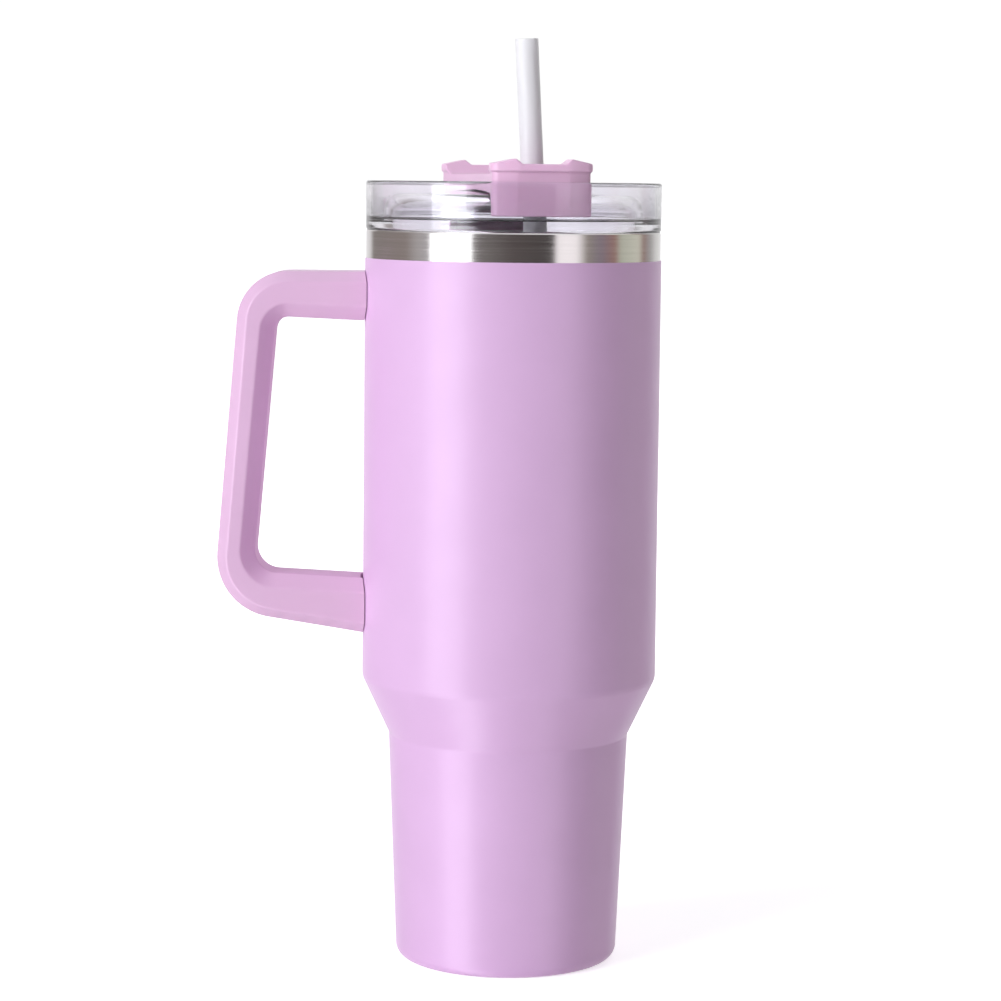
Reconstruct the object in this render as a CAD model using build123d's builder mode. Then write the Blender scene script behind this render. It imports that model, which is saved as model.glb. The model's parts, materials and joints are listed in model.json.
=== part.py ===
"""Insulated handled tumbler with a press-in lid, a turning cover and a straw.

Millimetres. The origin is the centre of the foot, +Z is up and the handle stands out toward -X.
"""

import os

from build123d import *

os.makedirs("parts", exist_ok=True)

# Body outline: radii and the heights they belong to
R_FOOT = 37.6
R_WAIST = 40.8
R_BODY = 50.0
Z_WAIST = 77.0
Z_SHOULDER = 96.4
Z_RIM = 247.9
Z_PAINT_TOP = 238.4
R_FOOT_CORNER = 4.5

# Sheet and skin thicknesses
T_PAINT = 0.3
T_STEEL = 0.5
T_LINER = 0.5
LINER_INSET = 3.3
R_FOOT_OPENING = 30.0
Z_LINER_FLOOR = 13.0

# Handle
W_HANDLE = 24.0
R_HANDLE_SEAT = 50.3
BEVEL_OUTER = 3.5
BEVEL_INNER = 4.6
Z_TONGUES = {"upper": 224.9, "lower": 119.9}
SCREW_X = (-58.0, -67.0)
R_SHANK = 1.5
R_HEAD = 2.8
H_HEAD = 2.0

# Lid
R_LID = 49.8
Z_LID_TOP = 264.3
Z_TROUGH = 251.6
R_SKIRT = 45.2
Z_SKIRT = 233.9
R_PIVOT = 2.8
OPENING_RADIUS = 25.1

# Turning cover
COVER_ANGLE = 12.0
R_COVER_END = 46.8
Z_COVER_LOW = 253.1
Z_LIP_LOW = 267.7
Z_COVER_INSIDE = 265.3

# Straw
R_STRAW = 3.8
T_STRAW = 0.9
STRAW_FOOT = (19.8, -12.0, 14.6)
STRAW_THROUGH = (6.0, -24.4, 266.9)
L_STRAW = 297.2

BAR = Plane.XY.rotated((0, 0, COVER_ANGLE))
BAR_SECTION = Plane(origin=(0, 0, 0), x_dir=BAR.x_dir, z_dir=BAR.y_dir * -1)
BAR_SIDE = Plane(origin=(0, 0, 0), x_dir=BAR.y_dir, z_dir=BAR.x_dir)
STRAW_PLANE = Plane(origin=STRAW_FOOT, z_dir=Vector(*STRAW_THROUGH) - Vector(*STRAW_FOOT))


def outline(points, radii):
    """Closed half outline in the XZ plane, each corner rounded by its own radius."""
    with BuildSketch(Plane.XZ) as profile:
        with BuildLine():
            FilletPolyline(points, radius=radii, close=True)
        make_face()
    return profile.sketch


def body_outline(inset, bottom, top, corner):
    """The body's half outline moved inward, closed on the axis."""
    points = [
        (0, bottom),
        (R_FOOT - inset, bottom),
        (R_WAIST - inset, Z_WAIST),
        (R_BODY - inset, Z_SHOULDER),
        (R_BODY - inset, top),
        (0, top),
    ]
    return outline(points, [0, corner, 2.5, 6.0, 0, 0])


def arc_slot(start, sweep, width):
    """Closed outline of a round-ended slot along the circle of the opening."""
    with BuildLine() as line:
        near = CenterArc((0, 0), OPENING_RADIUS - width / 2, start, sweep)
        far = CenterArc((0, 0), OPENING_RADIUS + width / 2, start, sweep)
        TangentArc(far @ 1, near @ 1, tangent=far % 1)
        TangentArc(near @ 0, far @ 0, tangent=(near % 0) * -1)
    return line.edges()


def liner_outline(inset, bottom, corner):
    """The liner's half outline, flared out at the mouth to meet the shell."""
    points = [
        (0, bottom),
        (R_FOOT - inset, bottom),
        (R_WAIST - inset, Z_WAIST),
        (R_BODY - inset, Z_SHOULDER),
        (R_BODY - inset, Z_RIM - 6.0),
        (R_BODY - inset + 2.5, Z_RIM - 3.0),
        (R_BODY - inset + 2.5, Z_RIM),
        (0, Z_RIM),
    ]
    return outline(points, [0, corner, 2.5, 6.0, 1.5, 1.0, 0, 0])


# Steel outer shell, bare at the mouth, turned in under the foot
with BuildPart() as outer_shell:
    revolve(body_outline(T_PAINT, 0, Z_RIM, R_FOOT_CORNER - T_PAINT), axis=Axis.Z)
    revolve(
        body_outline(T_PAINT + T_STEEL, T_STEEL, Z_RIM, R_FOOT_CORNER - T_PAINT - T_STEEL),
        axis=Axis.Z,
        mode=Mode.SUBTRACT,
    )
    with BuildSketch(Plane.XY):
        Circle(R_FOOT_OPENING)
    extrude(amount=2.0, mode=Mode.SUBTRACT)
outer_shell.part.label = "outer_shell"
export_step(outer_shell.part, "parts/outer_shell.step")

# Powder coat skin with two windows for the welded brackets
with BuildPart() as powder_coat:
    revolve(body_outline(0, -T_PAINT, Z_PAINT_TOP, R_FOOT_CORNER), axis=Axis.Z)
    revolve(
        body_outline(T_PAINT, 0, Z_PAINT_TOP, R_FOOT_CORNER - T_PAINT),
        axis=Axis.Z,
        mode=Mode.SUBTRACT,
    )
    with BuildSketch(Plane.XY.offset(-1.0)):
        Circle(R_BODY)
    extrude(amount=1.3, mode=Mode.SUBTRACT)
    for z_tongue in Z_TONGUES.values():
        with BuildSketch(Plane.YZ.offset(-R_BODY - 2.0)):
            with Locations((0, z_tongue)):
                Rectangle(13.2, 8.2)
        extrude(amount=5.0, mode=Mode.SUBTRACT)
powder_coat.part.label = "powder_coat"
export_step(powder_coat.part, "parts/powder_coat.step")

# Steel inner liner
with BuildPart() as inner_liner:
    revolve(liner_outline(LINER_INSET, Z_LINER_FLOOR - T_LINER, 9.0), axis=Axis.Z)
    revolve(
        liner_outline(LINER_INSET + T_LINER, Z_LINER_FLOOR, 8.5),
        axis=Axis.Z,
        mode=Mode.SUBTRACT,
    )
inner_liner.part.label = "inner_liner"
export_step(inner_liner.part, "parts/inner_liner.step")

# Outer bottom welded on the turned-in foot, dimpled at the pump-out hole
with BuildPart() as outer_bottom:
    plate = [
        (1.0, 6.0),
        (1.0, 6.8),
        (6.0, 6.8),
        (8.2, 4.4),
        (31.8, 4.4),
        (31.8, T_STEEL),
        (31.0, T_STEEL),
        (31.0, 3.6),
        (7.8, 3.6),
        (5.6, 6.0),
    ]
    revolve(outline(plate, [0, 0, 1.0, 1.0, 1.2, 0, 0, 0.4, 1.0, 1.0]), axis=Axis.Z)
outer_bottom.part.label = "outer_bottom"
export_step(outer_bottom.part, "parts/outer_bottom.step")

# Glass solder bead that seals the pump-out hole
with BuildPart() as vacuum_seal_bead:
    revolve(outline([(0, 3.6), (3.4, 4.2), (4.4, 6.0), (0, 6.0)], [0, 0.8, 0, 0]), axis=Axis.Z)
    with BuildSketch(Plane.XY.offset(6.0)):
        Circle(1.0)
    extrude(amount=0.8)
vacuum_seal_bead.part.label = "vacuum_seal_bead"
export_step(vacuum_seal_bead.part, "parts/vacuum_seal_bead.step")

# Getter tablet in the vacuum space
with BuildPart() as getter_tablet:
    with BuildSketch(Plane.XY.offset(4.4)):
        with Locations((0, 17.0)):
            Circle(4.5)
    extrude(amount=2.2)
    chamfer(getter_tablet.faces().sort_by(Axis.Z)[-1].edges(), 0.4)
getter_tablet.part.label = "getter_tablet"
export_step(getter_tablet.part, "parts/getter_tablet.step")

# Base cap pressed into the foot, flush with it
with BuildPart() as base_cap:
    cap = [
        (0, 0),
        (29.2, 0),
        (R_FOOT_OPENING, 0.8),
        (R_FOOT_OPENING, 3.0),
        (29.2, 3.0),
        (29.2, 1.1),
        (28.9, 0.8),
        (0, 0.8),
    ]
    revolve(outline(cap, 0), axis=Axis.Z)
base_cap.part.label = "base_cap"
export_step(base_cap.part, "parts/base_cap.step")

# Handle: corner points of the outer and inner outlines, and the inset of the inner ones
OUTER_CORNERS = [(-40.0, 233.8), (-91.3, 233.8), (-100.5, 119.6), (-40.0, 110.2)]
OUTER_ROUNDS = [0, 17.5, 20.5, 0]


def inner_corners(depth):
    """Corners of the finger gap, each face moved into the handle by a depth."""
    return [
        (-30.0, 216.6 + depth),
        (-79.8 - depth, 218.6 + depth),
        (-87.2 - depth, 131.9 - depth),
        (-30.0, 129.2 - depth),
    ]


def flank_edges(builder, inside):
    """Edges of the two flat flanks, round the finger gap or round the outside."""
    flanks = builder.faces().sort_by(Axis.Y)
    edges = (flanks[0].edges() + flanks[-1].edges()).filter_by_position(Axis.X, -120, -45)
    around_gap = edges.filter_by_position(Axis.Z, 122, 221).filter_by_position(Axis.X, -90, -45)
    if inside:
        return around_gap
    return ShapeList([edge for edge in edges if edge not in around_gap])


with BuildPart() as handle_frame:
    with BuildSketch(Plane.XZ):
        with BuildLine():
            FilletPolyline(OUTER_CORNERS, radius=OUTER_ROUNDS, close=True)
        make_face()
        with BuildLine():
            FilletPolyline(inner_corners(0), radius=[0, 5.0, 8.0, 0], close=True)
        make_face(mode=Mode.SUBTRACT)
    extrude(amount=W_HANDLE / 2, both=True)
    chamfer(flank_edges(handle_frame, inside=False), BEVEL_OUTER)
    chamfer(flank_edges(handle_frame, inside=True), BEVEL_INNER)
    # Groove for the grip strip
    with BuildSketch(Plane.XZ):
        with BuildLine():
            FilletPolyline(inner_corners(2.2), radius=[0, 6.6, 9.6, 0], close=True)
        make_face()
    extrude(amount=6.9, both=True, mode=Mode.SUBTRACT)
    # Pockets for the tongues and their feet
    for z_tongue in Z_TONGUES.values():
        with BuildSketch(Plane.YZ.offset(-74.0)):
            with Locations((0, z_tongue)):
                Rectangle(12.6, 2.6)
        extrude(amount=30.0, mode=Mode.SUBTRACT)
        with BuildSketch(Plane.YZ.offset(-52.6)):
            with Locations((0, z_tongue)):
                Rectangle(13.2, 8.2)
        extrude(amount=10.0, mode=Mode.SUBTRACT)
    # Screw seats, opened from the finger gap
    for x_screw in SCREW_X:
        with BuildSketch(Plane.XY.offset(214.9)):
            with Locations((x_screw, 0)):
                Circle(R_HEAD + 0.2)
        extrude(amount=7.9, mode=Mode.SUBTRACT)
        with BuildSketch(Plane.XY.offset(214.9)):
            with Locations((x_screw, 0)):
                Circle(R_SHANK + 0.1)
        extrude(amount=15.2, mode=Mode.SUBTRACT)
        with BuildSketch(Plane.XY.offset(125.1)):
            with Locations((x_screw, 0)):
                Circle(R_HEAD + 0.2)
        extrude(amount=7.0, mode=Mode.SUBTRACT)
        with BuildSketch(Plane.XY.offset(116.5)):
            with Locations((x_screw, 0)):
                Circle(R_SHANK + 0.1)
        extrude(amount=12.0, mode=Mode.SUBTRACT)
    # Seat against the body
    with BuildSketch(Plane.XY.offset(90.0)):
        Circle(R_HANDLE_SEAT)
    extrude(amount=150.0, mode=Mode.SUBTRACT)
handle_frame.part.label = "handle_frame"
export_step(handle_frame.part, "parts/handle_frame.step")

# Grip strip snapped into the inner groove, covering the screws
with BuildPart() as handle_grip_strip:
    with BuildSketch(Plane.XZ):
        with BuildLine():
            FilletPolyline(inner_corners(2.1), radius=[0, 6.5, 9.5, 0], close=True)
        make_face()
        with BuildLine():
            FilletPolyline(inner_corners(-0.1), radius=[0, 4.9, 7.9, 0], close=True)
        make_face(mode=Mode.SUBTRACT)
    extrude(amount=6.8, both=True)
    with BuildSketch(Plane.XY.offset(90.0)):
        Circle(R_HANDLE_SEAT + 0.6)
    extrude(amount=150.0, mode=Mode.SUBTRACT)
handle_grip_strip.part.label = "handle_grip_strip"
export_step(handle_grip_strip.part, "parts/handle_grip_strip.step")

# Brackets welded to the shell
for side, z_tongue in Z_TONGUES.items():
    with BuildPart() as bracket:
        with BuildSketch(Plane.YZ.offset(-R_BODY - 1.6)):
            with Locations((0, z_tongue)):
                RectangleRounded(12.6, 7.6, 1.5)
        extrude(amount=4.0)
        with BuildSketch(Plane.YZ.offset(-72.0)):
            with Locations((0, z_tongue)):
                Rectangle(12.0, 2.0)
        extrude(amount=21.0)
        with BuildSketch(Plane.XY.offset(z_tongue - 1.0)):
            with Locations([(x_screw, 0) for x_screw in SCREW_X]):
                Circle(R_SHANK)
        extrude(amount=2.0, mode=Mode.SUBTRACT)
        with BuildSketch(Plane.XY.offset(90.0)):
            Circle(R_BODY - T_PAINT)
        extrude(amount=150.0, mode=Mode.SUBTRACT)
    bracket.part.label = f"{side}_bracket"
    export_step(bracket.part, f"parts/{side}_bracket.step")

# Socket-head screws: upper pair driven up, lower pair driven down
SCREWS = {
    "upper_screw_inner": (SCREW_X[0], 220.6, 1),
    "upper_screw_outer": (SCREW_X[1], 220.6, 1),
    "lower_screw_inner": (SCREW_X[0], 127.2, -1),
    "lower_screw_outer": (SCREW_X[1], 127.2, -1),
}
for name, (x_screw, z_head, way) in SCREWS.items():
    seat = Plane(origin=(x_screw, 0, z_head), z_dir=(0, 0, way))
    with BuildPart() as screw:
        with BuildSketch(seat):
            Circle(R_HEAD)
        extrude(amount=H_HEAD)
        chamfer(screw.edges(), 0.3)
        with BuildSketch(seat.offset(H_HEAD)):
            Circle(R_SHANK - 0.05)
        extrude(amount=7.0)
        with BuildSketch(seat):
            RegularPolygon(radius=1.25, side_count=6)
        extrude(amount=1.3, mode=Mode.SUBTRACT)
    screw.part.label = name
    export_step(screw.part, f"parts/{name}.step")

# Clear lid: wall, trough, dome and plug skirt turned in one outline
with BuildPart() as lid_body:
    lid_points = [
        (0, 261.7),
        (42.6, 259.9),
        (44.2, Z_TROUGH),
        (47.8, Z_TROUGH),
        (47.8, Z_LID_TOP),
        (R_LID, Z_LID_TOP),
        (R_LID, Z_RIM),
        (R_SKIRT, Z_RIM),
        (R_SKIRT, 240.9),
        (44.0, 240.9),
        (44.0, 236.9),
        (R_SKIRT, 236.9),
        (R_SKIRT, Z_SKIRT),
        (42.6, Z_SKIRT),
        (42.6, 245.9),
        (41.9, 248.9),
        (40.4, 257.8),
        (0, 259.5),
    ]
    lid_rounds = [0, 6.0, 0.6, 1.0, 0.8, 0.8, 0.3, 0, 0, 0, 0, 0, 0.8, 0.8, 1.0, 1.0, 4.0, 0]
    revolve(outline(lid_points, lid_rounds), axis=Axis.Z)
    with BuildSketch(BAR.offset(252.9)):
        make_face(arc_slot(-102.2, 28.0, 12.0))
        Circle(R_PIVOT + 0.3)
        with Locations((-22.0, 24.0)):
            Circle(1.2)
    extrude(amount=12.0, mode=Mode.SUBTRACT)
lid_body.part.label = "lid_body"
export_step(lid_body.part, "parts/lid_body.step")

# Silicone ring in the skirt groove, with two lips toward the liner
with BuildPart() as lid_seal_ring:
    ring = [
        (44.0, 236.9),
        (R_SKIRT, 236.9),
        (46.05, 237.2),
        (46.05, 238.0),
        (45.3, 238.5),
        (45.3, 239.3),
        (46.05, 239.8),
        (46.05, 240.6),
        (R_SKIRT, 240.9),
        (44.0, 240.9),
    ]
    revolve(outline(ring, 0), axis=Axis.Z)
lid_seal_ring.part.label = "lid_seal_ring"
export_step(lid_seal_ring.part, "parts/lid_seal_ring.step")

# Turning cover: a waisted bar over the dome with both ends down in the trough
with BuildPart() as turning_cover:
    with BuildSketch(BAR.offset(Z_COVER_LOW)) as bar_plan:
        with BuildLine():
            right = ThreePointArc((16.8, -46.0), (14.0, 0), (16.8, 46.0))
            left = ThreePointArc((-16.8, -46.0), (-14.0, 0), (-16.8, 46.0))
            Line(right @ 1, left @ 1)
            Line(left @ 0, right @ 0)
        make_face()
        Circle(R_COVER_END, mode=Mode.INTERSECT)
        fillet(bar_plan.vertices(), 2.5)
    extrude(amount=Z_LIP_LOW - Z_COVER_LOW)
    with BuildSketch(BAR.offset(Z_LIP_LOW)) as lip_plan:
        with BuildLine():
            right = ThreePointArc((17.5, -47.2), (14.6, 0), (17.5, 47.2))
            left = ThreePointArc((-17.5, -47.2), (-14.6, 0), (-17.5, 47.2))
            Line(right @ 1, left @ 1)
            Line(left @ 0, right @ 0)
        make_face()
        Circle(R_COVER_END + 1.1, mode=Mode.INTERSECT)
        fillet(lip_plan.vertices(), 3.2)
    extrude(amount=4.4)
    # Hollow underside, leaving the pivot boss, the seal seat and the slot wall
    with BuildSketch(BAR.offset(Z_COVER_LOW)):
        with BuildLine():
            right = ThreePointArc((14.2, -42.0), (11.6, 0), (14.2, 42.0))
            left = ThreePointArc((-14.2, -42.0), (-11.6, 0), (-14.2, 42.0))
            Line(right @ 1, left @ 1)
            Line(left @ 0, right @ 0)
        make_face()
        make_face(arc_slot(-88.2, 68.0, 14.4), mode=Mode.SUBTRACT)
        Circle(6.0, mode=Mode.SUBTRACT)
    extrude(amount=Z_COVER_INSIDE - Z_COVER_LOW, mode=Mode.SUBTRACT)
    # Corner horns over a shallow channel, with a low flat middle between the raised ends
    with BuildSketch(BAR_SECTION):
        Polygon(
            (-18.5, 242.9),
            (18.5, 242.9),
            (18.5, 269.9),
            (9.2, 271.8),
            (7.2, 270.1),
            (-7.2, 270.1),
            (-9.2, 271.8),
            (-18.5, 269.9),
            align=None,
        )
    extrude(amount=60.0, both=True, mode=Mode.INTERSECT)
    middle = [(-39.4, 282.9), (-39.4, 272.4), (-35.0, 266.8), (35.0, 266.8), (39.4, 272.4), (39.4, 282.9)]
    with BuildSketch(BAR_SIDE):
        with BuildLine():
            FilletPolyline(middle, radius=[0, 1.2, 3.0, 3.0, 1.2, 0], close=True)
        make_face()
    extrude(amount=30.0, both=True, mode=Mode.SUBTRACT)
    # Clearance over the dome
    clearance = [(0, 242.9), (44.7, 242.9), (44.6, Z_TROUGH), (43.0, 260.3), (0, 262.1)]
    revolve(outline(clearance, [0, 0, 0, 6.2, 0]), axis=Axis.Z, mode=Mode.SUBTRACT)
    # Straw slot, open on one side so the bar can turn away from the straw
    with BuildSketch(BAR.offset(242.9)):
        make_face(arc_slot(-88.2, 68.0, 10.0))
        Circle(R_PIVOT)
    extrude(amount=40.0, mode=Mode.SUBTRACT)
    # Recess for the pivot head
    with BuildSketch(BAR.offset(266.1)):
        Circle(5.4)
    extrude(amount=5.0, mode=Mode.SUBTRACT)
turning_cover.part.label = "turning_cover"
export_step(turning_cover.part, "parts/turning_cover.step")

# Seal pad under the rear arm of the cover
with BuildPart() as cover_seal_pad:
    with BuildSketch(BAR.offset(257.9)):
        make_face(arc_slot(77.8, 24.4, 12.4))
    extrude(amount=Z_COVER_INSIDE - 257.9)
    revolve(
        outline([(0, 242.9), (44.7, 242.9), (44.6, Z_TROUGH), (43.0, 260.2), (0, 262.0)], [0, 0, 0, 6.2, 0]),
        axis=Axis.Z,
        mode=Mode.SUBTRACT,
    )
cover_seal_pad.part.label = "cover_seal_pad"
export_step(cover_seal_pad.part, "parts/cover_seal_pad.step")

# Pivot pin with a flat head
with BuildPart() as pivot_pin:
    pin = [
        (0, 267.3),
        (5.2, 267.3),
        (5.2, 266.1),
        (R_PIVOT, 266.1),
        (R_PIVOT, 259.1),
        (2.3, 259.1),
        (2.3, 258.1),
        (R_PIVOT, 258.1),
        (R_PIVOT, 256.5),
        (0, 256.5),
    ]
    revolve(outline(pin, [0, 0.5, 0, 0, 0, 0, 0, 0, 0.6, 0]), axis=Axis.Z)
pivot_pin.part.label = "pivot_pin"
export_step(pivot_pin.part, "parts/pivot_pin.step")

# Retaining clip snapped into the pin's groove under the dome
with BuildPart() as pivot_clip:
    with BuildSketch(Plane.XY.offset(258.1)):
        Circle(5.6)
        Circle(2.3, mode=Mode.SUBTRACT)
        with Locations((0, 4.0)):
            Rectangle(3.4, 8.0, mode=Mode.SUBTRACT)
    extrude(amount=1.0)
pivot_clip.part.label = "pivot_clip"
export_step(pivot_clip.part, "parts/pivot_clip.step")

# Straw, leaning from the liner floor to the opening
with BuildPart() as straw:
    with BuildSketch(STRAW_PLANE):
        Circle(R_STRAW)
        Circle(R_STRAW - T_STRAW, mode=Mode.SUBTRACT)
    extrude(amount=L_STRAW)
    fillet(straw.edges(), 0.35)
straw.part.label = "straw"
export_step(straw.part, "parts/straw.step")
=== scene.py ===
import bpy
import bmesh
import json
import math
from mathutils import Matrix, Vector

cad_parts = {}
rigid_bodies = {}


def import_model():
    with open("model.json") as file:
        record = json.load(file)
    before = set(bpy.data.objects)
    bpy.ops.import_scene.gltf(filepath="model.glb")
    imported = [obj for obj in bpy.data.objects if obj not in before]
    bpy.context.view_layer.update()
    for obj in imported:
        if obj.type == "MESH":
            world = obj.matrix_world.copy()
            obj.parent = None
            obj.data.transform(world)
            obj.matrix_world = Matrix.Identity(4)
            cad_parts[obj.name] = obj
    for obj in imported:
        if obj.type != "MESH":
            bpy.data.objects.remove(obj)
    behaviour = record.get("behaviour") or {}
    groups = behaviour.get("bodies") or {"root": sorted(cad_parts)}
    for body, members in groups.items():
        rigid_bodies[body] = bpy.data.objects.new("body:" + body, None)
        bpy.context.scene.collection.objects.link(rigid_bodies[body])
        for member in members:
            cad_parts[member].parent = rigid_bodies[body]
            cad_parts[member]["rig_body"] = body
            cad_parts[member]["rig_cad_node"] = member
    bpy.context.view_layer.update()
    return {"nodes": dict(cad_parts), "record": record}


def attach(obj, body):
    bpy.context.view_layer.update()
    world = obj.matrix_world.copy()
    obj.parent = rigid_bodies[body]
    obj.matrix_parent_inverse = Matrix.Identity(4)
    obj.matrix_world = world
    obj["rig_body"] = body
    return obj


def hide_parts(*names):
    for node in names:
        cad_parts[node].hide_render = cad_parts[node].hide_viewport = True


# Sizes in mm, in the frame of the CAD model
MM = 0.001

# Body
R_FOOT = 37.6
R_FOOT_CORNER = 4.5
R_FOOT_OPENING = 30.0
R_WAIST = 40.8
Z_WAIST = 77.0
R_WAIST_BEND = 2.5
R_BODY = 50.0
Z_SHOULDER = 96.4
R_SHOULDER_BEND = 6.0
Z_PAINT_TOP = 238.4
Z_PAINT_LOW = 0.3
Z_RIM = 247.9
T_PAINT = 0.3
T_STEEL = 0.5

# Liner and the plate under the foot
LINER_INSET = 3.3
R_LINER_CORNER = 9.0
Z_LINER_FLOOR = 13.0
Z_FLARE = 241.9
H_FLARE = 3.0
W_FLARE = 2.5
T_CAP = 0.8
H_CAP = 3.0

# Handle: corners of its two outlines seen from the front, each with its radius
HANDLE_OUTER = [(-40.0, 233.8, 0), (-91.3, 233.8, 17.5), (-100.5, 119.6, 20.5), (-40.0, 110.2, 0)]
HANDLE_INNER = [(-40.0, 217.0, 0), (-79.8, 218.6, 5.0), (-87.2, 131.9, 8.0), (-40.0, 129.67, 0)]
HALF_WIDTH = 12.0
BEVEL_OUTER = 3.5
BEVEL_INNER = 4.6
HALF_INNER_FACE = 7.5
HALF_STRIP = 6.8
HALF_STRIP_GROOVE = 6.95
STRIP_DEPTH = 2.1
STRIP_GROOVE_DEPTH = 2.2
STRIP_PROUD = 0.12
R_FRAME_SEAT = 50.35
R_STRIP_SEAT = 50.95
SEAT_STEPS = 12
CORNER_STEPS = 20
GRIP_STEPS = 30

# Lid and its ring
R_LID = 49.8
R_LID_INSIDE = 47.8
Z_LID_TOP = 264.3
Z_LID_SEAT = 247.92
Z_TROUGH = 251.6
Z_DOME = 261.7
Z_DOME_INSIDE = 259.5
R_DOME_EDGE = 42.6
R_DOME_FOOT = 44.2
R_SKIRT = 45.2
R_SKIRT_INSIDE = 42.6
Z_SKIRT = 233.9
R_GROOVE = 44.0
Z_GROOVE_LOW = 236.9
Z_GROOVE_HIGH = 240.9
R_RING = 46.05
R_RING_WAIST = 45.3
OPENING_RADIUS = 25.1
OPENING_START = -90.2
OPENING_SWEEP = 28.0
OPENING_WIDTH = 12.0
R_PIVOT_HOLE = 3.1
R_VENT = 1.2
VENT_PLACE = (-22.0, 24.0)
Z_CUT_LOW = 252.9
Z_CUT_HIGH = 264.9

# Turning cover and its pin
COVER_ANGLE = 12.0
COVER_VOXEL = 0.34
R_PIN_HEAD = 5.2
R_PIN = 2.8
R_PIN_NECK = 2.3
Z_PIN_TOP = 267.3
Z_PIN_SHOULDER = 266.1
Z_NECK_TOP = 259.1
Z_NECK_LOW = 258.1
Z_PIN_LOW = 256.5

# Straw
R_STRAW = 3.8
T_STRAW = 0.9
R_STRAW_EDGE = 0.38
L_STRAW = 297.2
STRAW_FOOT = Vector((19.8, -12.0, 14.6))
STRAW_THROUGH = Vector((6.0, -24.4, 266.9))

# Edges sharper than this many degrees stay crisp
SHARP_TURNED = 32.0
SHARP_HANDLE = 40.0
SHARP_CAD = 28.0

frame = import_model()
nodes = frame["nodes"]


# ---------------------------------------------------------------- shapes

def corner_arc(before, corner, after, radius, steps):
    """Points of the arc that rounds a corner, from the side of before to the side of after."""
    a = before - corner
    b = after - corner
    shorter = min(a.length, b.length)
    a.normalize()
    b.normalize()
    half = a.angle(b) / 2
    reach = min(radius / math.tan(half), shorter * 0.49)
    centre = corner + (a + b).normalized() * (reach * math.tan(half) / math.sin(half))
    start = corner + a * reach - centre
    end = corner + b * reach - centre
    turn = -start.angle_signed(end)
    return [centre + Matrix.Rotation(turn * k / steps, 2) @ start for k in range(steps + 1)]


def rounded(corners, steps=10, closed=True, guard=0.7):
    """Outline from corners of (x, y, radius): each becomes an arc, with guard points beside it."""
    points = [Vector((x, y)) for x, y, _ in corners]
    count = len(points)
    out = []
    for i, (_, _, radius) in enumerate(corners):
        if radius <= 0 or (not closed and i in (0, count - 1)):
            out.append(points[i])
            continue
        before = points[i - 1] - points[i]
        after = points[(i + 1) % count] - points[i]
        arc = corner_arc(points[i - 1], points[i], points[(i + 1) % count], radius, steps)
        reach = (arc[0] - points[i]).length
        if guard and before.length - reach > 2.5 * guard:
            out.append(arc[0] + before.normalized() * guard)
        out += arc
        if guard and after.length - reach > 2.5 * guard:
            out.append(arc[-1] + after.normalized() * guard)
    return out


def finish_mesh(bm, name, angle=SHARP_TURNED):
    """Clean the mesh, shade it smooth between its sharp edges and link it as an object."""
    bmesh.ops.remove_doubles(bm, verts=bm.verts, dist=1e-7)
    bmesh.ops.recalc_face_normals(bm, faces=bm.faces)
    mesh = bpy.data.meshes.new(name)
    bm.to_mesh(mesh)
    bm.free()
    smooth(mesh, angle)
    obj = bpy.data.objects.new(name, mesh)
    bpy.context.scene.collection.objects.link(obj)
    return obj


def smooth(mesh, angle):
    for poly in mesh.polygons:
        poly.use_smooth = True
    mesh.set_sharp_from_angle(angle=math.radians(angle))


def bridge(bm, a, b):
    """Faces between two rings, either of which may be a single point."""
    count = max(len(a), len(b))
    if count == 1:
        return
    for k in range(count):
        n = (k + 1) % count
        if len(a) == 1:
            bm.faces.new((a[0], b[n], b[k]))
        elif len(b) == 1:
            bm.faces.new((a[k], a[n], b[0]))
        else:
            bm.faces.new((a[k], a[n], b[n], b[k]))


def circle(radius, count, centre=(0, 0)):
    angles = [math.tau * k / count for k in range(count)]
    return [(centre[0] + radius * math.cos(t), centre[1] + radius * math.sin(t)) for t in angles]


def lathe(name, profile, segments=256):
    """Turned piece from a closed half profile of (radius, height)."""
    bm = bmesh.new()
    rings = []
    for r, z in profile:
        ring = circle(r * MM, segments) if r > 1e-6 else [(0, 0)]
        rings.append([bm.verts.new((x, y, z * MM)) for x, y in ring])
    for a, b in zip(rings, rings[1:] + rings[:1]):
        bridge(bm, a, b)
    return finish_mesh(bm, name)


def prism(name, outline, low, high):
    """Closed prism from a plan outline."""
    bm = bmesh.new()
    a, b = [[bm.verts.new((x * MM, y * MM, z * MM)) for x, y in outline] for z in (low, high)]
    bridge(bm, a, b)
    bm.faces.new(a[::-1])
    bm.faces.new(b)
    return finish_mesh(bm, name)


def arc_outline(radius, start, sweep, width, steps=20, end_steps=12):
    """Round-ended slot along a circle about the axis, angles in degrees."""
    def along(r, first, last):
        angles = [math.radians(first + (last - first) * k / steps) for k in range(steps + 1)]
        return [(r * math.cos(t), r * math.sin(t)) for t in angles]

    def round_end(place, first):
        x = radius * math.cos(math.radians(place))
        y = radius * math.sin(math.radians(place))
        angles = [math.radians(first + 180 * k / end_steps) for k in range(1, end_steps)]
        return [(x + width / 2 * math.cos(t), y + width / 2 * math.sin(t)) for t in angles]

    stop = start + sweep
    return (along(radius + width / 2, start, stop) + round_end(stop, stop)
            + along(radius - width / 2, stop, start) + round_end(start, start + 180))


def handle_line(corners):
    """Points along one outline of the handle, with fixed counts, so that the two can be paired."""
    p = [Vector((x, z)) for x, z, _ in corners]
    upper, lower = [corner_arc(p[i - 1], p[i], p[i + 1], corners[i][2], CORNER_STEPS) for i in (1, 2)]
    grip = [upper[-1].lerp(lower[0], k / GRIP_STEPS) for k in range(1, GRIP_STEPS)]
    return [p[0]] + upper + grip + lower + [p[3]]


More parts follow.
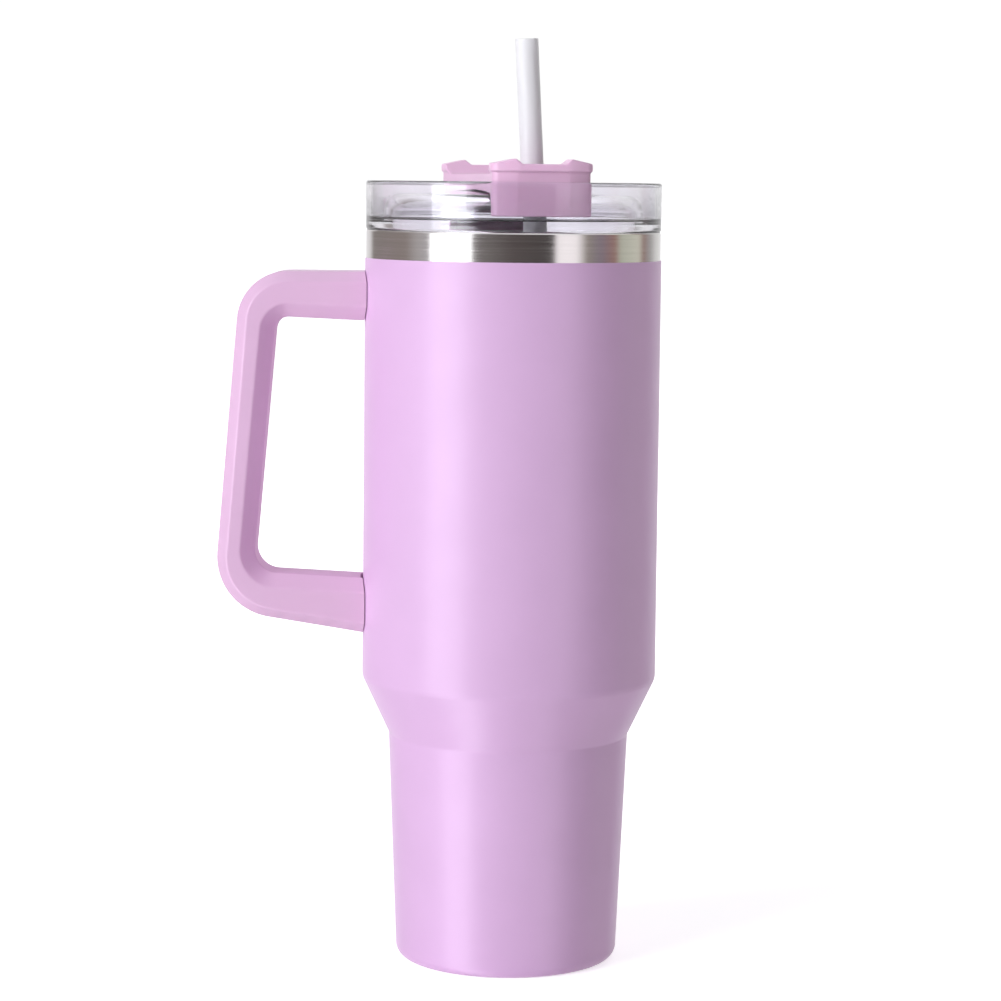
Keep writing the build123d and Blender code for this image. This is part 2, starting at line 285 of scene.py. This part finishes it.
def to_seat(end, near, seat):
    """Rings of an arm, from where its lines meet the seat cylinder up to the ring near the corner."""
    ends = []
    for (y, a), (_, b) in zip(end, near):
        x = -math.sqrt(seat * seat - y * y)
        ends.append((y, a.lerp(b, (x - a.x) / (b.x - a.x))))
    rings = []
    for k in range(SEAT_STEPS):
        t = k / SEAT_STEPS
        t = t * t * (3 - 2 * t)
        rings.append([(y, a.lerp(b, t)) for (y, a), (_, b) in zip(ends, near)])
    return rings


def handle_sweep(name, section, seat):
    """The C handle or its strip: a section swept between the inner and the outer outline."""
    rings = []
    for o, i in zip(handle_line(HANDLE_OUTER), handle_line(HANDLE_INNER)):
        depth = (o - i).length
        rings.append([(y, i + (o - i) / depth * d) for y, d in section(depth)])
    first = to_seat(rings[0], rings[1], seat)
    last = to_seat(rings[-1], rings[-2], seat)[::-1]
    bm = bmesh.new()
    loops = [[bm.verts.new((p.x * MM, y * MM, p.y * MM)) for y, p in ring]
             for ring in first + rings[1:-1] + last]
    for a, b in zip(loops, loops[1:]):
        bridge(bm, a, b)
    bm.faces.new(loops[0][::-1])
    bm.faces.new(loops[-1])
    return finish_mesh(bm, name, SHARP_HANDLE)


def mirrored(half):
    """A whole section from its half with y above 0."""
    return half + [(-y, d) for y, d in half[::-1] if y > 1e-9]


def frame_section(depth):
    """Bevelled section of the handle with the groove for its strip; d runs from the inner face."""
    groove = [(0, STRIP_GROOVE_DEPTH), (HALF_STRIP_GROOVE, STRIP_GROOVE_DEPTH),
              (HALF_STRIP_GROOVE, 0.25), (HALF_STRIP_GROOVE + 0.2, 0)]
    skin = rounded([
        (HALF_STRIP_GROOVE + 0.2, 0, 0),
        (HALF_INNER_FACE, 0, 0.8),
        (HALF_WIDTH, BEVEL_INNER, 1.4),
        (HALF_WIDTH, depth - BEVEL_OUTER, 1.4),
        (HALF_WIDTH - BEVEL_OUTER, depth, 1.4),
        (0, depth, 0),
    ], 5, False, 0.25)
    return mirrored(groove + [tuple(p) for p in skin[1:]])


def strip_section(depth):
    """Section of the strip, which doesn't depend on the handle's depth."""
    half = rounded([
        (0, -STRIP_PROUD, 0),
        (HALF_STRIP, -STRIP_PROUD, 0.45),
        (HALF_STRIP, STRIP_DEPTH, 0.2),
        (0, STRIP_DEPTH, 0),
    ], 5, False, 0.2)
    return mirrored([tuple(p) for p in half])


def apply_modifiers(obj):
    deps = bpy.context.evaluated_depsgraph_get()
    mesh = bpy.data.meshes.new_from_object(obj.evaluated_get(deps))
    obj.modifiers.clear()
    obj.data = mesh


# ---------------------------------------------------------------- materials

def material(name):
    mat = bpy.data.materials.new(name)
    mat.use_nodes = True
    nt = mat.node_tree
    return mat, nt, nt.nodes["Principled BSDF"]


def coords(nt, scale=(1, 1, 1)):
    tc = nt.nodes.new("ShaderNodeTexCoord")
    mp = nt.nodes.new("ShaderNodeMapping")
    mp.inputs["Scale"].default_value = scale
    nt.links.new(tc.outputs["Object"], mp.inputs["Vector"])
    return mp.outputs["Vector"]


def noise(nt, vector, scale, detail=3.0, rough=0.5):
    n = nt.nodes.new("ShaderNodeTexNoise")
    n.inputs["Scale"].default_value = scale
    n.inputs["Detail"].default_value = detail
    n.inputs["Roughness"].default_value = rough
    nt.links.new(vector, n.inputs["Vector"])
    return n.outputs["Fac"]


def spread(nt, value, low, high, start=0.0, end=1.0, interpolation="LINEAR"):
    """The value mapped from start..end onto low..high."""
    m = nt.nodes.new("ShaderNodeMapRange")
    m.interpolation_type = interpolation
    m.inputs["From Min"].default_value = start
    m.inputs["From Max"].default_value = end
    m.inputs["To Min"].default_value = low
    m.inputs["To Max"].default_value = high
    nt.links.new(value, m.inputs["Value"])
    return m.outputs["Result"]


def tint(nt, fac, stops):
    r = nt.nodes.new("ShaderNodeValToRGB")
    while len(r.color_ramp.elements) < len(stops):
        r.color_ramp.elements.new(0.5)
    for e, (pos, col) in zip(r.color_ramp.elements, stops):
        e.position = pos
        e.color = (*col, 1.0)
    nt.links.new(fac, r.inputs["Fac"])
    return r.outputs["Color"]


def bump(nt, height, distance, strength=1.0, below=None):
    b = nt.nodes.new("ShaderNodeBump")
    b.inputs["Distance"].default_value = distance
    b.inputs["Strength"].default_value = strength
    nt.links.new(height, b.inputs["Height"])
    if below is not None:
        nt.links.new(below, b.inputs["Normal"])
    return b.outputs["Normal"]


def srgb(*levels):
    """Linear colour from screen levels of 0 to 255."""
    shares = [level / 255 for level in levels]
    return tuple(c / 12.92 if c <= 0.04045 else ((c + 0.055) / 1.055) ** 2.4 for c in shares)


def mottled(nt, bsdf, colour, vector, drift=0.02, scale=35.0):
    """Base colour that drifts a little over the surface."""
    dark = tuple(c * (1 - drift) for c in colour)
    light = tuple(min(1.0, c * (1 + drift)) for c in colour)
    shade = tint(nt, noise(nt, vector, scale), [(0.3, dark), (0.7, light)])
    nt.links.new(shade, bsdf.inputs["Base Color"])


def moulded(name, colour, rough, peel, coat=0.0, subsurface=0.0):
    """Moulded or coated surface: slow colour drift, uneven gloss and fine orange peel."""
    mat, nt, bsdf = material(name)
    v = coords(nt)
    mottled(nt, bsdf, colour, v)
    gloss = spread(nt, noise(nt, v, 60.0, 4.0), rough - 0.03, rough + 0.03, 0.3, 0.7)
    nt.links.new(gloss, bsdf.inputs["Roughness"])
    wide = bump(nt, noise(nt, v, 420.0, 2.0), 0.00001 * peel)
    fine = bump(nt, noise(nt, v, 2600.0, 2.0), 0.000003 * peel, below=wide)
    nt.links.new(fine, bsdf.inputs["Normal"])
    bsdf.inputs["Coat Weight"].default_value = coat
    bsdf.inputs["Coat Roughness"].default_value = 0.25
    bsdf.inputs["Subsurface Weight"].default_value = subsurface
    bsdf.inputs["Subsurface Radius"].default_value = (1.0, 0.6, 0.8)
    bsdf.inputs["Subsurface Scale"].default_value = 0.0015
    return mat


def brushed(name, colour, rough, aniso, lines=2600.0, turned=True):
    """Steel with fine brushing, round the axis or plain."""
    mat, nt, bsdf = material(name)
    bsdf.inputs["Metallic"].default_value = 1.0
    v = coords(nt, (14.0, 14.0, lines) if turned else (lines * 0.3, 14.0, lines * 0.3))
    streak = noise(nt, v, 1.0, 5.0, 0.62)
    dark = tuple(c * 0.9 for c in colour)
    nt.links.new(tint(nt, streak, [(0.3, dark), (0.7, colour)]), bsdf.inputs["Base Color"])
    nt.links.new(spread(nt, streak, rough - 0.05, rough + 0.07, 0.3, 0.7), bsdf.inputs["Roughness"])
    nt.links.new(bump(nt, streak, 0.000004, 0.6), bsdf.inputs["Normal"])
    bsdf.inputs["Anisotropic"].default_value = aniso
    bsdf.inputs["Anisotropic Rotation"].default_value = 0.25 if turned else 0.0
    if turned:
        tangent = nt.nodes.new("ShaderNodeTangent")
        tangent.direction_type = "RADIAL"
        tangent.axis = "Z"
        nt.links.new(tangent.outputs["Tangent"], bsdf.inputs["Tangent"])
    return mat


def clear(name, colour, rough, ior, haze, transmission=1.0):
    """Clear or milky plastic with faint handling haze."""
    mat, nt, bsdf = material(name)
    v = coords(nt)
    mottled(nt, bsdf, colour, v, 0.01)
    gloss = spread(nt, noise(nt, v, 90.0, 6.0), rough, rough + haze, 0.45, 0.75)
    nt.links.new(gloss, bsdf.inputs["Roughness"])
    nt.links.new(bump(nt, noise(nt, v, 240.0, 2.0), 0.000006), bsdf.inputs["Normal"])
    bsdf.inputs["IOR"].default_value = ior
    bsdf.inputs["Transmission Weight"].default_value = transmission
    return mat


COAT_COLOUR = (0.73, 0.468, 0.74)
HANDLE_COLOUR = (0.745, 0.482, 0.69)
COVER_COLOUR = (0.84, 0.53, 0.74)
PIN_COLOUR = (0.81, 0.5, 0.71)
SHELL_STEEL = (0.66, 0.64, 0.625)
# The liner's steel is set lighter than the shell's: painted light that lifts the shade inside the cup.
LINER_STEEL_WITH_PAINTED_LIGHT = (0.8, 0.8, 0.79)
LID_COLOUR = (0.965, 0.955, 0.99)
STRAW_COLOUR = (0.985, 0.975, 1.0)
mats = {
    "powder_coat": moulded("powder_coat_lilac", COAT_COLOUR, 0.4, peel=0.9, coat=0.25),
    "handle_plastic": moulded("handle_plastic_lilac", HANDLE_COLOUR, 0.36, peel=0.5, coat=0.15,
                              subsurface=0.05),
    # The grip strip's colour, darker than the handle's, is painted shade of the handle's inner side, which
    # faces the body.
    "grip_plastic": moulded("grip_plastic_lilac_painted_shade", srgb(216, 170, 208), 0.5, peel=1.6),
    "cover_plastic": moulded("cover_plastic_pink", COVER_COLOUR, 0.34, peel=0.5, coat=0.1,
                             subsurface=0.12),
    "pin_plastic": moulded("pin_plastic_pink", PIN_COLOUR, 0.36, peel=0.5),
    "steel_shell": brushed("steel_brushed_round", SHELL_STEEL, 0.2, aniso=0.9),
    "steel_liner": brushed("steel_satin_round_painted_light", LINER_STEEL_WITH_PAINTED_LIGHT, 0.33, aniso=0.4, lines=1800.0),
    "steel_base": brushed("steel_base_satin", (0.56, 0.56, 0.55), 0.3, aniso=0.4, lines=1500.0),
    "steel_bracket": brushed("steel_sheet", (0.55, 0.55, 0.54), 0.36, aniso=0.2, turned=False),
    "steel_screw": brushed("steel_screw", (0.58, 0.58, 0.58), 0.3, aniso=0.1, turned=False),
    "steel_clip": brushed("steel_clip", (0.6, 0.6, 0.59), 0.28, aniso=0.1, turned=False),
    "lid_clear": clear("lid_clear_plastic", LID_COLOUR, 0.02, ior=1.49, haze=0.05),
    "straw_clear": clear("straw_milky_plastic", STRAW_COLOUR, 0.34, ior=1.42, haze=0.08,
                         transmission=0.3),
    "seal_silicone": clear("silicone_translucent", srgb(236, 236, 242), 0.42, ior=1.41, haze=0.1,
                           transmission=0.55),
    "pad_silicone": moulded("silicone_pad_white", srgb(236, 232, 238), 0.5, peel=0.8),
    "seal_glass": moulded("solder_glass", (0.1, 0.085, 0.07), 0.3, peel=1.0, coat=0.3),
    "getter": moulded("getter_powder", (0.16, 0.16, 0.165), 0.8, peel=4.0),
}


def dress(obj, slot):
    obj.data.materials.clear()
    obj.data.materials.append(mats[slot])


def piece(obj, slot, body, stands_for):
    dress(obj, slot)
    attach(obj, body)
    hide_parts(stands_for)


for entry in frame["record"]["subparts"]:
    dress(nodes[entry["node"]], entry["material_slot"])
    smooth(nodes[entry["node"]].data, SHARP_CAD)


# ---------------------------------------------------------------- cup body

def wall(inset, bottom, top, corner, edge=0.0):
    """Corners up the side of the body, moved inward by inset."""
    return [
        (R_FOOT - inset, bottom, corner),
        (R_WAIST - inset, Z_WAIST, R_WAIST_BEND),
        (R_BODY - inset, Z_SHOULDER, R_SHOULDER_BEND),
        (R_BODY - inset, top, edge),
    ]


def shell_profile():
    outside = T_PAINT
    inside = T_PAINT + T_STEEL
    outer = wall(outside, 0, Z_RIM - 0.45, R_FOOT_CORNER - outside, 0.4)
    inner = wall(inside, T_STEEL, Z_RIM - 0.8, R_FOOT_CORNER - inside)
    mouth = [(R_BODY - 0.55, Z_RIM, 0.1), (R_BODY - 0.75, Z_RIM, 0.05)]
    return rounded([(R_FOOT_OPENING, 0, 0.12)] + outer + mouth + inner[::-1]
                   + [(R_FOOT_OPENING, T_STEEL, 0)])


def coat_profile():
    """The coat wraps the foot's corner; what would lie below its lowest edge is dropped."""
    outer = wall(0, -T_PAINT, Z_PAINT_TOP, R_FOOT_CORNER, 0.16)
    inner = wall(T_PAINT, 0, Z_PAINT_TOP, R_FOOT_CORNER - T_PAINT)
    whole = rounded([(R_FOOT_OPENING, -T_PAINT, 0)] + outer + inner[::-1]
                    + [(R_FOOT_OPENING, 0, 0)], 24)
    return [p for p in whole if p[1] > Z_PAINT_LOW]


def liner_side(inset, bottom, corner):
    return wall(inset, bottom, Z_FLARE, corner, 1.5) + [(R_BODY - inset + W_FLARE, Z_FLARE + H_FLARE, 1.0)]


def liner_profile():
    r_weld = R_BODY - T_PAINT - T_STEEL
    floor_below = Z_LINER_FLOOR - T_STEEL
    outer = liner_side(LINER_INSET, floor_below, R_LINER_CORNER)
    inner = liner_side(LINER_INSET + T_STEEL, Z_LINER_FLOOR, R_LINER_CORNER - T_STEEL)
    mouth = [(r_weld, Z_RIM, 0.1), (r_weld - T_STEEL, Z_RIM, 0.3)]
    return rounded([(0, floor_below, 0)] + outer + mouth + inner[::-1] + [(0, Z_LINER_FLOOR, 0)])


def cap_profile():
    r_inside = R_FOOT_OPENING - T_CAP
    return rounded([
        (0, 0, 0),
        (R_FOOT_OPENING - 0.85, 0, 0.5),
        (R_FOOT_OPENING, 0.8, 0.4),
        (R_FOOT_OPENING, H_CAP, 0),
        (r_inside, H_CAP, 0),
        (r_inside, T_CAP + 0.3, 0),
        (r_inside - 0.3, T_CAP, 0),
        (0, T_CAP, 0),
    ], 5)


piece(lathe("steel_shell_turned", shell_profile()), "steel_shell", "cup", "outer_shell")
piece(lathe("lilac_coat_turned", coat_profile()), "powder_coat", "cup", "powder_coat")
piece(lathe("steel_liner_turned", liner_profile()), "steel_liner", "cup", "inner_liner")
piece(lathe("steel_base_turned", cap_profile()), "steel_base", "cup", "base_cap")

# ---------------------------------------------------------------- handle

handle = handle_sweep("lilac_handle", frame_section, R_FRAME_SEAT)
piece(handle, "handle_plastic", "cup", "handle_frame")
strip = handle_sweep("lilac_grip_strip", strip_section, R_STRIP_SEAT)
piece(strip, "grip_plastic", "cup", "handle_grip_strip")


# ---------------------------------------------------------------- lid

def lid_profile():
    """Dome, trough and wall above, then the seat, the plug skirt with its groove, and the underside."""
    return rounded([
        (0, Z_DOME, 0),
        (R_DOME_EDGE, Z_DOME - 1.8, 6.0),
        (R_DOME_FOOT, Z_TROUGH, 0.6),
        (R_LID_INSIDE, Z_TROUGH, 1.0),
        (R_LID_INSIDE, Z_LID_TOP, 0.8),
        (R_LID, Z_LID_TOP, 0.8),
        (R_LID, Z_LID_SEAT, 0.8),
        (R_SKIRT, Z_LID_SEAT, 0),
        (R_SKIRT, Z_GROOVE_HIGH, 0),
        (R_GROOVE, Z_GROOVE_HIGH, 0),
        (R_GROOVE, Z_GROOVE_LOW, 0),
        (R_SKIRT, Z_GROOVE_LOW, 0),
        (R_SKIRT, Z_SKIRT, 0.8),
        (R_SKIRT_INSIDE, Z_SKIRT, 0.8),
        (R_SKIRT_INSIDE, Z_SKIRT + 12.0, 1.0),
        (R_SKIRT_INSIDE - 0.7, Z_SKIRT + 15.0, 1.0),
        (R_SKIRT_INSIDE - 2.2, Z_DOME_INSIDE - 1.7, 4.0),
        (0, Z_DOME_INSIDE, 0),
    ], 8)


def ring_profile():
    """Ring with two lips, filling the groove of the plug skirt."""
    soft = 0.25
    return rounded([
        (R_GROOVE, Z_GROOVE_LOW, 0),
        (R_SKIRT, Z_GROOVE_LOW, 0),
        (R_RING, Z_GROOVE_LOW + 0.3, soft),
        (R_RING, Z_GROOVE_LOW + 1.1, soft),
        (R_RING_WAIST, Z_GROOVE_LOW + 1.6, soft),
        (R_RING_WAIST, Z_GROOVE_HIGH - 1.6, soft),
        (R_RING, Z_GROOVE_HIGH - 1.1, soft),
        (R_RING, Z_GROOVE_HIGH - 0.3, soft),
        (R_SKIRT, Z_GROOVE_HIGH, 0),
        (R_GROOVE, Z_GROOVE_HIGH, 0),
    ], 4, guard=0)


def cut_holes(obj, holes):
    """Cut each named plan outline through the dome."""
    cutters = [prism(name, outline, Z_CUT_LOW, Z_CUT_HIGH) for name, outline in holes.items()]
    for cutter in cutters:
        mod = obj.modifiers.new("cut", "BOOLEAN")
        mod.operation = "DIFFERENCE"
        mod.solver = "EXACT"
        mod.object = cutter
    apply_modifiers(obj)
    for cutter in cutters:
        bpy.data.objects.remove(cutter)
    obj.data.set_sharp_from_angle(angle=math.radians(SHARP_TURNED))


vent_centre = Matrix.Rotation(math.radians(COVER_ANGLE), 2) @ Vector(VENT_PLACE)
lid = lathe("clear_lid", lid_profile(), 300)
cut_holes(lid, {
    "cut_opening": arc_outline(OPENING_RADIUS, OPENING_START, OPENING_SWEEP, OPENING_WIDTH),
    "cut_pivot": circle(R_PIVOT_HOLE, 40),
    "cut_vent": circle(R_VENT, 24, vent_centre),
})
piece(lid, "lid_clear", "lid", "lid_body")
piece(lathe("silicone_ring", ring_profile()), "seal_silicone", "lid", "lid_seal_ring")


# ---------------------------------------------------------------- cover and its pivot

def softened_cover():
    """A copy of the CAD cover with its edges eased as moulding leaves them."""
    cover = nodes["turning_cover"].copy()
    cover.data = nodes["turning_cover"].data.copy()
    cover.name = "pink_cover"
    cover.parent = None
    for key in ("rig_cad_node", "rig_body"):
        if key in cover:
            del cover[key]
    bpy.context.scene.collection.objects.link(cover)
    even = cover.modifiers.new("even", "REMESH")
    even.mode = "VOXEL"
    even.voxel_size = COVER_VOXEL * MM
    soft = cover.modifiers.new("soft", "SMOOTH")
    soft.factor = 0.5
    soft.iterations = 2
    apply_modifiers(cover)
    for poly in cover.data.polygons:
        poly.use_smooth = True
    return cover


def pin_profile():
    return rounded([
        (0, Z_PIN_TOP, 0),
        (R_PIN_HEAD, Z_PIN_TOP, 0.5),
        (R_PIN_HEAD, Z_PIN_SHOULDER, 0),
        (R_PIN, Z_PIN_SHOULDER, 0),
        (R_PIN, Z_NECK_TOP, 0),
        (R_PIN_NECK, Z_NECK_TOP, 0),
        (R_PIN_NECK, Z_NECK_LOW, 0),
        (R_PIN, Z_NECK_LOW, 0),
        (R_PIN, Z_PIN_LOW, 0.6),
        (0, Z_PIN_LOW, 0),
    ], 6)


piece(softened_cover(), "cover_plastic", "cover", "turning_cover")
piece(lathe("pink_pin", pin_profile(), 96), "pin_plastic", "cover", "pivot_pin")


# ---------------------------------------------------------------- straw

def straw_profile():
    corners = [(R_STRAW - T_STRAW, 0), (R_STRAW, 0), (R_STRAW, L_STRAW), (R_STRAW - T_STRAW, L_STRAW)]
    return rounded([(r, z, R_STRAW_EDGE) for r, z in corners], 6)


straw = lathe("milky_straw", straw_profile(), 96)
lean = (STRAW_THROUGH - STRAW_FOOT).normalized().to_track_quat("Z", "Y")
straw.data.transform(Matrix.Translation(STRAW_FOOT * MM) @ lean.to_matrix().to_4x4())
piece(straw, "straw_clear", "straw", "straw")


# ---------------------------------------------------------------- stage, light and camera

# Half the floor's side in metres, and how bright the floor looks near the object, far from it,
# and as a source of light; the sky's share of its brightness as a source of diffuse light
FLOOR_HALF = 40.0
FLOOR_NEAR = 0.58
FLOOR_FAR = 0.85
FLOOR_BOUNCE = 0.15
SKY_BOUNCE = 0.25
SKY_TOP = (1.15, 1.15, 1.2)
BACKDROP = (1.02, 1.02, 1.02)

# Direction round the object in degrees from the camera's side, and the light seen there
AROUND = [
    (-180, (0.95, 0.95, 0.97)),
    (-150, (0.9, 0.88, 0.9)),
    (-140, (0.32, 0.29, 0.28)),
    (-92, (0.36, 0.31, 0.30)),
    (-80, (0.55, 0.52, 0.53)),
    (-68, (0.56, 0.54, 0.57)),
    (-64, (5.4, 5.5, 5.7)),
    (-39, (5.4, 5.5, 5.7)),
    (-31, (0.26, 0.24, 0.24)),
    (0, (0.12, 0.1, 0.1)),
    (31, (0.08, 0.07, 0.07)),
    (34, (1.4, 1.34, 1.4)),
    (50, (1.4, 1.34, 1.4)),
    (59, (0.38, 0.34, 0.31)),
    (72, (0.3, 0.25, 0.31)),
    (86, (0.4, 0.22, 0.2)),
    (92, (0.62, 0.64, 0.55)),
    (114, (0.8, 0.8, 0.7)),
    (122, (0.4, 0.28, 0.26)),
    (134, (0.48, 0.47, 0.48)),
    (146, (0.8, 0.8, 0.8)),
    (180, (0.95, 0.95, 0.97)),
]


def camera_or(nt, target, other, camera, colour):
    """Feed target one value for what the camera sees directly and another for all other rays."""
    path = nt.nodes.new("ShaderNodeLightPath")
    node = nt.nodes.new("ShaderNodeMix")
    node.data_type = "RGBA" if colour else "FLOAT"
    first, second, out = (6, 7, 2) if colour else (2, 3, 0)
    nt.links.new(path.outputs["Is Camera Ray"], node.inputs[0])
    for source, index in ((other, first), (camera, second)):
        if isinstance(source, bpy.types.NodeSocket):
            nt.links.new(source, node.inputs[index])
        else:
            node.inputs[index].default_value = source
    nt.links.new(node.outputs[out], target)
    return path


def pale_floor():
    bm = bmesh.new()
    for x, y in ((-1, -1), (1, -1), (1, 1), (-1, 1)):
        bm.verts.new((x * FLOOR_HALF, y * FLOOR_HALF, 0))
    bm.faces.new(bm.verts)
    floor = finish_mesh(bm, "pale_floor")
    floor.visible_glossy = False
    mat, nt, bsdf = material("pale_floor")
    v = coords(nt)
    mottled(nt, bsdf, (0.86, 0.86, 0.865), v, 0.004, 3.0)
    bsdf.inputs["Roughness"].default_value = 0.75
    bsdf.inputs["Specular IOR Level"].default_value = 0.1
    bsdf.inputs["Emission Color"].default_value = (1, 1, 1, 1)
    away = nt.nodes.new("ShaderNodeVectorMath")
    away.operation = "LENGTH"
    nt.links.new(v, away.inputs[0])
    pool = spread(nt, away.outputs["Value"], FLOOR_NEAR, FLOOR_FAR, 0.12, 1.1)
    camera_or(nt, bsdf.inputs["Emission Strength"], FLOOR_BOUNCE, pool, False)
    floor.data.materials.append(mat)


def heading(nt, direction):
    """Direction round the vertical axis: 0 behind the object, 0.5 on the camera's side, 1 behind again."""
    minus = nt.nodes.new("ShaderNodeMath")
    minus.operation = "MULTIPLY"
    minus.inputs[1].default_value = -1.0
    nt.links.new(direction.outputs["Y"], minus.inputs[0])
    angle = nt.nodes.new("ShaderNodeMath")
    angle.operation = "ARCTAN2"
    nt.links.new(direction.outputs["X"], angle.inputs[0])
    nt.links.new(minus.outputs[0], angle.inputs[1])
    return spread(nt, angle.outputs[0], 0.0, 1.0, -math.pi, math.pi)


def studio_world():
    """A room of soft tones round the object, plain white where the camera sees it directly."""
    world = bpy.data.worlds.new("studio")
    bpy.context.scene.world = world
    world.use_nodes = True
    nt = world.node_tree
    nt.nodes.clear()
    tc = nt.nodes.new("ShaderNodeTexCoord")
    direction = nt.nodes.new("ShaderNodeSeparateXYZ")
    nt.links.new(tc.outputs["Generated"], direction.inputs["Vector"])
    stops = [((degrees + 180) / 360, colour) for degrees, colour in AROUND]
    around = tint(nt, heading(nt, direction), stops)
    sky = nt.nodes.new("ShaderNodeMix")
    sky.data_type = "RGBA"
    sky.inputs[7].default_value = (*SKY_TOP, 1)
    above = spread(nt, direction.outputs["Z"], 0.0, 1.0, 0.35, 0.9, "SMOOTHSTEP")
    nt.links.new(above, sky.inputs[0])
    nt.links.new(around, sky.inputs[6])
    back = nt.nodes.new("ShaderNodeBackground")
    path = camera_or(nt, back.inputs["Color"], sky.outputs[2], (*BACKDROP, 1), True)
    nt.links.new(spread(nt, path.outputs["Is Diffuse Ray"], 1.0, SKY_BOUNCE), back.inputs["Strength"])
    out = nt.nodes.new("ShaderNodeOutputWorld")
    nt.links.new(back.outputs[0], out.inputs[0])


def lamp(name, place, target, size, power, colour=(1, 1, 1), through=True):
    """Soft lamp that itself stays out of sight; through says whether it lights through clear plastic."""
    data = bpy.data.lights.new(name, "AREA")
    data.shape = "RECTANGLE"
    data.size, data.size_y = size
    data.energy = power
    data.color = colour
    obj = bpy.data.objects.new(name, data)
    obj.location = place
    obj.rotation_euler = (Vector(target) - Vector(place)).to_track_quat("-Z", "Y").to_euler()
    obj.visible_camera = False
    obj.visible_glossy = False
    obj.visible_transmission = through
    bpy.context.scene.collection.objects.link(obj)


def camera(place, pitch, roll, lens, shift):
    """Camera that looks along +Y, tipped down by pitch and turned by roll, in degrees."""
    data = bpy.data.cameras.new("camera")
    data.sensor_width = 36.0
    data.lens = lens
    data.shift_x, data.shift_y = shift
    data.clip_start = 0.05
    obj = bpy.data.objects.new("camera", data)
    tilt = Matrix.Rotation(math.radians(90 - pitch), 4, "X")
    obj.matrix_world = Matrix.Translation(place) @ tilt @ Matrix.Rotation(math.radians(roll), 4, "Z")
    bpy.context.scene.collection.objects.link(obj)
    bpy.context.scene.camera = obj


pale_floor()
studio_world()
lamp("key_left", (-1.28, -1.0, 0.6), (0, 0, 0.15), (0.9, 1.4), 16.5, (0.975, 1.0, 1.03))
lamp("rear_fill", (0.75, 1.5, 0.7), (0, 0, 0.13), (1.2, 1.2), 9, through=False)
lamp("top_soft", (0.1, 0.1, 1.6), (0, 0, 0), (1.6, 1.6), 3)
camera((0.0, -1.0, 0.26447), pitch=5.1, roll=0.6437, lens=106.27, shift=(-0.010665, -0.055423))
bpy.context.scene.view_settings.view_transform = "Standard"
